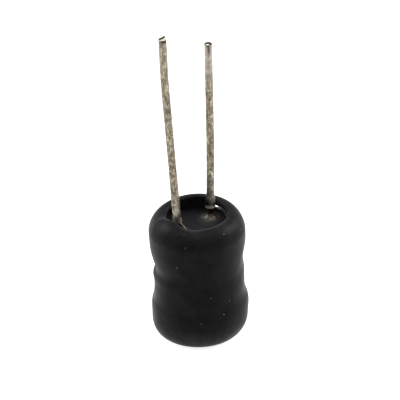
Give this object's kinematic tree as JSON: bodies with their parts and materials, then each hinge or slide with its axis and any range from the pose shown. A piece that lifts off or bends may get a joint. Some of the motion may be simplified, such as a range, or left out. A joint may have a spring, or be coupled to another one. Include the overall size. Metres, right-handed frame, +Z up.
{
  "type": "drum core inductor",
  "caption": "Radial-lead drum core inductor: round wound ferrite bobbin in a black heat-shrunk sleeve, with two tinned wire leads of unequal length.",
  "frame": {"origin": "middle of the sleeve's lower rim, on the surface that the part stands on", "axes": "+Z up along the drum and its leads; the leads stand on the X axis, the long start lead on the -X side"},
  "size_m": [0.01, 0.01, 0.0347],
  "materials": {
    "ferrite": "matt sintered ferrite",
    "enamelled_copper": "glossy enamel",
    "tinned_wire": "dull hot-dipped tin",
    "solder": "satin solder",
    "resin": "glossy amber-grey resin",
    "shrink_sleeve": "matt shrink tubing"
  },
  "bodies": {
    "root": {"drum_core": "ferrite", "winding": "enamelled_copper", "start_lead": "tinned_wire", "finish_lead": "tinned_wire", "start_solder": "solder", "finish_solder": "solder", "start_bond": "resin", "finish_bond": "resin", "sleeve": "shrink_sleeve"}
  },
  "joints": []
}
